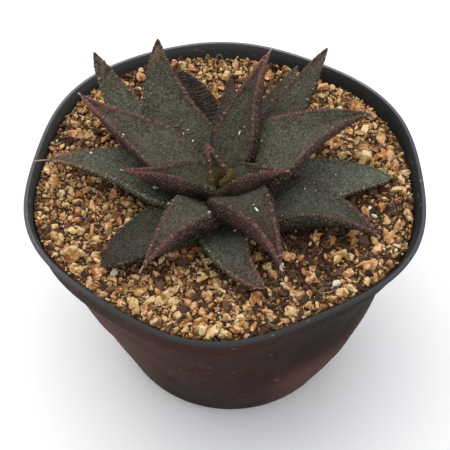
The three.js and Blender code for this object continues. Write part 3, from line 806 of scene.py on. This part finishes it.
def ground_piece():
    angle = np.arange(MIX_SIDES) * TAU / MIX_SIDES
    rings = []
    for k in range(1, MIX_RINGS + 1):
        ring = pressed(angle, inside_radius(MIX_LEVEL) - WALL_GAP, MIX_LEVEL - 0.6, k / MIX_RINGS)
        ring[:, 2] = ground_height(ring[:, 0], ring[:, 1]) - (0.2 if k == MIX_RINGS else 0)
        rings.append(ring)
    for z in (58.5, 57.2, 55.3, 48, 42, 30, 20, 10, MIX_BOTTOM):
        rings.append(pressed(angle, inside_radius(z) - WALL_GAP, z))
    centre = middle(MIX_LEVEL)
    centre[2] = ground_height(centre[0], centre[1])
    points, quads, fans = closed_rings(np.array(rings), [centre, middle(MIX_BOTTOM)])
    piece = make_object("soil_bed", points, [quads, fans], soil_surface())
    turn_outward(piece)
    part_piece(piece, "potting_mix", "potting_mix")


ground_piece()


def ball(level):
    """Points and faces of a unit ball."""
    made = bmesh.new()
    bmesh.ops.create_icosphere(made, subdivisions=level, radius=1)
    points = np.array([v.co for v in made.verts])
    faces = np.array([[v.index for v in f.verts] for f in made.faces])
    made.free()
    return points, faces


def random_turns(count):
    return np.array([Quaternion(q).to_matrix() for q in unit(random.normal(size=(count, 4)))])


def rough_field(points, size, seed):
    """Smooth noise from 0 to 1 at points in space, with cells of the given size."""
    p = points / size
    corner = np.floor(p)
    t = smooth(p - corner)
    total = 0
    for near in np.ndindex(2, 2, 2):
        share = np.prod(np.abs(1 - np.array(near) - t), -1)
        x, y, z = np.moveaxis(corner + near, -1, 0)
        total = total + share * hashed(x + 57 * z, y, seed)
    return total


def stones(level, places, sizes, flatness):
    """Crumbly grains, one at each place: a ball broken by planes, squashed, roughened and turned. Also
    gives the count of points of each, and how far each point stands out, from 0 to 1."""
    points, faces = ball(level)
    count = len(places)
    shape = np.repeat(points[None], count, 0)
    for _ in range(FACETS):
        normal = unit(random.normal(size=(count, 3)))
        limit = random.uniform(0.36, 0.82, (count, 1))
        over = np.maximum(np.einsum("spi,si->sp", shape, normal) - limit, 0)
        shape = shape - over[..., None] * normal[:, None]
    own = shape + random.uniform(0, 900, (count, 1, 3))
    relief = 0.6 * rough_field(own, 0.5, 1) + 0.4 * rough_field(own, 0.24, 2)
    shape = shape * (1 + CRUMBLE * (relief[..., None] - 0.5) * 2)
    squash = [np.ones(count), random.uniform(0.45, 0.95, count), random.uniform(*flatness, count)]
    shape = shape * np.stack(squash, -1)[:, None] * (sizes / 2)[:, None, None] * 1.25
    # Grains lie rather flat: their turns are drawn toward none, and then spun about the upright.
    u, _, v = np.linalg.svd(lerp(random_turns(count), np.eye(3)[None], 0.4))
    x, y, z = np.einsum("sij,spj->isp", u @ v, shape)
    spin = random.uniform(0, TAU, (count, 1))
    c, d = np.cos(spin), np.sin(spin)
    shape = np.stack([x * c - y * d, x * d + y * c, z], -1) + places[:, None]
    all_faces = faces[None] + (np.arange(count) * len(points))[:, None, None]
    return shape.reshape(-1, 3), all_faces.reshape(-1, 3), len(points), relief.reshape(-1)


def grit_surface(name, *stops):
    """Mineral grain: each grain by its tone, cream where it stands out and darker and rust-coloured in its
    hollows, partly its own colour and partly painted shade.
    """
    grain = Surface(name, 0.92)
    # Darker rust in the hollows: partly the grain's own colour, partly painted shade.
    rust_and_shade = grain.times(grain.between("relief", 0.52, 0.36), grain.between(grain.noise(260, 2), 0.3, 0.6),
                        0.75)
    chalky = grain.between(grain.noise(620, 4), 0.54, 0.68)
    pale = grain.math("MAXIMUM", grain.between("relief", 0.5, 0.68), chalky)
    colour = grain.coated(
        grain.ramp("tone", stops), (rust_and_shade, (146, 88, 46)),
        (grain.times(pale, 0.58), (238, 214, 172)),
        (grain.times(grain.between(grain.noise(170, 2), 0.56, 0.7), 0.35), (206, 150, 108)),
        (grain.times(grain.between(grain.cells(1700), 0.3, 0.1), 0.4), (96, 62, 38)),
    )
    return grain.finish(colour, grain.noise(2100, 4), 0.2, 0.8)


def bark_surface():
    bark = Surface("bark", 0.85, 1.2)
    colour = bark.ramp("tone", [(0, 60, 42, 33), (0.5, 88, 63, 52), (1, 116, 86, 70)])
    colour = bark.mix(bark.between(bark.noise(800, 4), 0.5, 0.75), colour, (132, 104, 82))
    return bark.finish(colour, bark.noise(1600, 4), 0.3, 0.8)


def perlite_surface():
    white = Surface("perlite", 0.9, 1.3)
    colour = white.mix(white.noise(900, 3), (206, 196, 174), (240, 232, 214))
    return white.finish(colour, white.noise(2200, 3), 0.2, 0.8)


surfaces = {
    "tan": grit_surface("pumice_tan", (0, 120, 86, 50), (0.2, 162, 120, 72), (0.5, 196, 152, 96),
                        (0.75, 216, 180, 124), (1, 236, 210, 162)),
    "orange": grit_surface("baked_clay", (0, 160, 98, 54), (0.5, 192, 130, 76), (1, 214, 162, 112)),
    "white": perlite_surface(),
    "dark": bark_surface(),
}

T, O, W, D = surfaces

# Grains that stand out in the photograph: pixel across and down, width, kind.
MARKED = [
    (52, 171, 4.6, T), (54, 182, 4, O), (103, 197, 3, T), (92, 207, 3, O), (77, 213, 2.6, O),
    (128, 202, 4.6, T), (108, 227, 4.8, T), (92, 231, 3, T), (74, 256, 6.2, T), (98, 273, 4.8, O),
    (114, 273, 2.6, W), (151, 281, 2.4, O), (168, 278, 3, T), (180, 273, 3.6, T), (167, 300, 6.2, T),
    (62, 192, 1.6, W), (333, 146, 5.4, O), (361, 158, 6.4, T), (385, 155, 4.6, O), (393, 166, 4.6, O),
    (372, 165, 3.4, T), (316, 237, 3.6, O), (310, 244, 1.8, W), (337, 257, 5.2, T), (368, 267, 4.8, O),
    (348, 272, 3, O), (310, 280, 4.4, O), (298, 294, 3.8, T), (255, 299, 4.6, O), (272, 275, 2.6, T),
    (337, 283, 2.6, W), (375, 217, 2, W), (370, 208, 1.7, W), (281, 267, 1.7, W), (282, 285, 1.5, W),
    (389, 238, 4.2, O), (353, 235, 3, O), (377, 250, 3, O), (200, 330, 4.2, T), (212, 333, 4.4, T),
    (224, 335, 3.6, T), (237, 330, 3.8, O), (249, 333, 3.6, O), (183, 310, 3.6, D), (202, 279, 3.2, T),
    (226, 306, 3.4, D), (322, 88, 3.8, O), (332, 88, 2, T), (355, 108, 4.8, O), (330, 103, 3.4, O),
    (372, 118, 4, T), (173, 64, 2.6, O), (141, 78, 3.6, O), (84, 111, 3.6, O), (84, 119, 2.8, T),
    (98, 124, 3.8, T), (77, 134, 4.8, O), (89, 136, 4, T), (99, 134, 3, D), (193, 70, 3, O),
    (215, 90, 3, T), (150, 300, 3.4, T), (133, 305, 3.8, T), (122, 291, 3.2, T), (395, 190, 3, T),
    (385, 200, 2.4, T), (270, 318, 3.4, T), (290, 312, 2.8, T), (330, 300, 3.4, T), (350, 290, 3.4, T),
    (395, 255, 3.4, T), (405, 240, 3, T),
]

# Patches of fine dark peat, or of pale coarse grit (below 0): pixel across and down, reach, strength.
PEAT = [
    (318, 253, 11, 1.7), (70, 228, 7, 0.9), (160, 262, 6, 0.9), (345, 285, 7, 0.6), (215, 298, 7, 0.7),
    (290, 300, 8, 0.8), (120, 300, 5, 0.6), (180, 322, 5, 0.5), (275, 320, 6, 0.8), (400, 215, 5, 0.8),
    (370, 160, 9, -2.2), (345, 108, 7, -1), (92, 235, 6, -0.8), (60, 178, 4, -1), (155, 305, 5, -0.8),
    (220, 332, 7, -1), (95, 118, 6, -1.2), (340, 262, 5, -0.8), (215, 75, 8, -1.8), (240, 322, 12, 0.5),
]


def damp(x, y):
    """How dark and fine the mix is, from about -1 to 2."""
    total = 1.3 * value_noise(x, y, 12, 8) + 0.8 * value_noise(x, y, 5, 9)
    for px, py, reach, strength in PEAT:
        at_x, at_y, _ = seen_at(px, py, MIX_LEVEL)
        total = total + strength * np.exp(-((x - at_x) ** 2 + (y - at_y) ** 2) / reach ** 2)
    return total


def wall_room(x, y):
    """How far a point of the mix's surface is from the inside of the wall."""
    x, y = x + RIM_MIDDLE[0] - BASE_SHIFT * (1 - 64 / POT_HEIGHT), y + RIM_MIDDLE[1]
    angle = np.arctan2(y, x)
    share = 63 / POT_HEIGHT
    return inside_radius(63.0) + rim_bulge(angle) * share ** 1.5 + sagged(angle, share) - np.hypot(x, y)


def from_stem(x, y):
    return np.hypot(x - STEM_SPOT[0], y - STEM_SPOT[1])


def clear_of_leaves(place, size):
    found, normal, _, away = leaf_shapes.find_nearest(Vector(place))
    return away > 0.42 * size and (Vector(place) - found).dot(normal) > 0


def strewn(count):
    """Points spread evenly over the mix."""
    radius = GRIT_RADIUS * np.sqrt(random.uniform(0, 1, count))
    angle = random.uniform(0, TAU, count)
    return radius * np.cos(angle), radius * np.sin(angle)


def scattered():
    """Every grain as (x, y, size, kind): the marked ones, then ever smaller ones in what room is left."""
    taken = []
    for px, py, size, kind in MARKED:
        x, y, _ = seen_at(px, py, MIX_LEVEL + 0.3)
        x, y, _ = seen_at(px, py, MIX_LEVEL + 0.3 + edge_lift(x, y))
        if wall_room(x, y) > size * 0.45:
            taken.append((x, y, size, kind))
    near = np.array([row[:3] for row in taken])
    for low, high, tries, crowding in ((2.8, 4.2, 220, 0.84), (1.9, 2.8, 2600, 0.7), (1.2, 1.9, 6000, 0.62),
                                       (0.75, 1.2, 9000, 0.56)):
        x, y = strewn(tries)
        size = random.uniform(low, high, tries)
        draw = random.uniform(0, 1, tries)
        share = np.clip(0.37 + 0.32 * damp(x, y), 0.05, 0.85)
        kinds = np.select([draw < share, (draw < share + 0.03) & (size < 1.5), draw < share + 0.15],
                          [D, W, O], T)
        fits = (wall_room(x, y) >= size * 0.45 + 0.05) & (from_stem(x, y) >= 5)
        for at_x, at_y, width, kind in zip(x[fits], y[fits], size[fits], kinds[fits]):
            away = np.hypot(near[:, 0] - at_x, near[:, 1] - at_y)
            if np.all(away >= crowding * (near[:, 2] + width) / 2):
                near = np.vstack([near, (at_x, at_y, width)])
                taken.append((at_x, at_y, width, kind))
    return taken


def crumbled(x, y, z, size, kind):
    """A large grain as a clump of a few overlapping ones."""
    if size < 3.6 or kind not in (T, O):
        return [(x, y, z, size, kind)]
    out = [(x, y, z, 0.8 * size, kind)]
    start = random.uniform(0, TAU)
    for turn in (start, start + 2.3, start + 4.2):
        reach = 0.24 * size * random.uniform(0.7, 1.2)
        lift = random.uniform(-0.05, 0.1) * size
        part = random.uniform(0.42, 0.66) * size
        out.append((x + reach * math.cos(turn), y + reach * math.sin(turn), z + lift, part, kind))
    return out


def crumbs_between(count):
    """Tiny grains strewn over the whole surface."""
    x, y = strewn(count)
    size = random.uniform(0.4, 0.95, count)
    draw = random.uniform(0, 1, count)
    keep = (wall_room(x, y) > 0.5 * size) & (from_stem(x, y) > 4.5)
    share = np.clip(0.54 + 0.32 * damp(x, y), 0.15, 0.94)
    kinds = np.select([draw < share, draw < share + 0.14, draw > 0.985], [D, O, W], T)
    z = ground_height(x, y) + random.uniform(0.05, 0.5, count)
    return [row for row, kept in zip(zip(x, y, z, size, kinds), keep) if kept]


def grit_pieces():
    rows = []
    for x, y, size, kind in scattered():
        rows += crumbled(x, y, float(ground_height(x, y)) + 0.16 * size + 0.1, size, kind)
    rows += crumbs_between(9000)
    rows = [row for row in rows if clear_of_leaves(row[:3], row[3])]
    for kind, surface in surfaces.items():
        flatness = (0.3, 0.55) if kind == D else (0.38, 0.82)
        for label, low, high, level, lightest in (("coarse", 2.4, 9, 3, 1), ("middle", 1.3, 2.4, 2, 0.9),
                                                  ("fine", 0.85, 1.3, 1, 0.68), ("crumb", 0, 0.85, 0, 0.5)):
            chosen = [row for row in rows if row[4] == kind and low <= row[3] < high]
            places, sizes = np.array([row[:3] for row in chosen]), np.array([row[3] for row in chosen])
            points, faces, each, relief = stones(level, places, sizes, flatness)
            tone = np.repeat(random.uniform(0, lightest, len(chosen)), each)
            piece = make_object(f"grit_{kind}_{label}", points, [faces], surface,
                                {"tone": tone, "relief": relief}, flat=True)
            part_piece(piece, "potting_mix")


grit_pieces()


# Pale crumbs caught on the leaves: pixel across and down, length, width and slope across the view.
FLECKS = [
    (240, 133, 1.5, 0.5, 55), (257, 210, 1.8, 0.45, -55), (209.5, 212.5, 0.7, 0.5, 0),
    (193, 141, 0.7, 0.4, 60), (183, 134, 0.6, 0.35, 90), (235, 231, 1, 0.7, 0), (335.5, 175, 0.5, 0.4, 0),
    (91, 153, 0.8, 0.6, 0), (123, 135, 0.6, 0.5, 20), (305, 189, 0.4, 0.35, 0), (316, 191, 0.35, 0.3, 0),
    (156, 187.5, 2.2, 1.2, 48), (272, 101, 0.4, 0.35, 0), (262, 141, 0.4, 0.3, 0),
    (169, 204, 0.7, 0.5, -30), (219, 96, 0.4, 0.3, 0), (141, 105, 0.4, 0.3, 0), (254, 205, 0.6, 0.4, -60),
    (188, 130, 0.5, 0.3, 40), (245, 127, 0.4, 0.3, 0),
]


def fleck_pieces():
    """Small flat crumbs laid on whichever leaf shows at their pixels."""
    made = []
    ball_points, ball_faces = ball(1)
    for px, py, length, width, slope in FLECKS:
        toward = unit(seen_at(px, py, MIX_LEVEL) - eye)
        found, normal, _, _ = leaf_shapes.ray_cast(Vector(eye), Vector(toward))
        if found is None:
            continue
        normal = np.array(normal) * (-1 if np.dot(normal, toward) > 0 else 1)
        c, d = math.cos(math.radians(slope)), math.sin(math.radians(slope))
        lie = np.array([c, d * math.sin(ELEVATION), d * math.cos(ELEVATION)])
        lie = unit(lie - lie.dot(normal) * normal)
        axes = np.stack([lie * length / 2, np.cross(normal, lie) * width / 2, normal * 0.16])
        lumpy = ball_points * (1 + 0.25 * np.sin(5 * ball_points + px).sum(1, keepdims=True) / 3)
        made.append((lumpy @ axes + np.array(found) + 0.2 * normal, ball_faces))
    piece = make_object("flecks", *joined(made), surfaces[W], flat=True)
    part_piece(piece, "potting_mix")


fleck_pieces()


def strand(path, radius):
    """Points and faces of a thin round thread along a path."""
    ahead = unit(np.gradient(path, axis=0))
    side = unit(np.cross(ahead, [0.31, 0.2, 0.93]))
    up = np.cross(side, ahead)
    turn = np.arange(5)[None, :, None] * TAU / 5
    girth = radius * np.sin(np.linspace(0.5, math.pi - 0.35, len(path)))[:, None, None]
    rings = path[:, None] + girth * (np.cos(turn) * side[:, None] + np.sin(turn) * up[:, None])
    return closed_rings(rings, [path[0], path[-1]])


def arch(px, py, z, wide, tall, turn, lean):
    """A thread's path that rises from the surface seen at a pixel and comes down again."""
    x, y, _ = seen_at(px, py, z)
    t = np.linspace(0, 1, 14)
    along = wide * (t - 0.5)
    lift = tall * np.sin(math.pi * t) + z
    sway = lean * np.sin(math.pi * t) + 0.12 * wide * np.sin(2 * math.pi * t)
    c, d = math.cos(turn), math.sin(turn)
    return np.stack([x + along * c - sway * d, y + along * d + sway * c, lift], -1)


def rootlets_surface():
    root = Surface("rootlets_skin", 0.85)
    colour = root.mix(root.between(root.noise(220, 2), 0.4, 0.62), (206, 184, 142), (132, 106, 72))
    return root.finish(colour, root.noise(2500, 2), 0.05, 0.5)


def rootlet_pieces():
    paths = [
        (arch(220, 66, 62.6, 3.2, 3.8, 0.35, 0.4), 0.17), (arch(211, 64, 62.8, 2.2, 2.4, 1.2, 0.5), 0.12),
        (arch(208, 63, 62.8, 1.4, 3.2, 0.2, -0.3), 0.1), (arch(240, 66, 62.6, 4.5, 0.8, 0.1, 0.6), 0.1),
        (arch(388, 142, 62.8, 5, 1.2, -0.5, 0.8), 0.13), (arch(122, 296, 62.8, 4, 0.9, 1.9, 0.6), 0.13),
        (arch(118, 290, 62.8, 5, 0.8, 1.6, -0.7), 0.11), (arch(126, 300, 62.8, 3.5, 1.0, 1.3, 0.5), 0.12),
    ]
    t = np.linspace(0, 1, 12)
    for _ in range(110):
        radius = 45 * math.sqrt(random.uniform(0.05, 1))
        angle = random.uniform(0, TAU)
        wide = random.uniform(1.5, 5)
        heading = random.uniform(0, TAU)
        turn = heading + random.uniform(-0.5, 0.5) * 4 * (t - 0.5)
        x = radius * math.cos(angle) + np.cumsum(np.cos(turn) * wide / 12)
        y = radius * math.sin(angle) + np.cumsum(np.sin(turn) * wide / 12)
        if wall_room(x, y).min() < 0.5:
            continue
        z = ground_height(x, y) + 0.35 + random.uniform(0.2, 0.9) * np.sin(math.pi * t)
        paths.append((np.column_stack([x, y, z]), random.uniform(0.05, 0.1)))
    threads = [strand(path, radius) for path, radius in paths
               if all(clear_of_leaves(p, 0.4) for p in path[::3])]
    part_piece(make_object("rootlets", *joined(threads), rootlets_surface()), "potting_mix")


rootlet_pieces()


# ---- last update of the scene

bpy.context.view_layer.update()
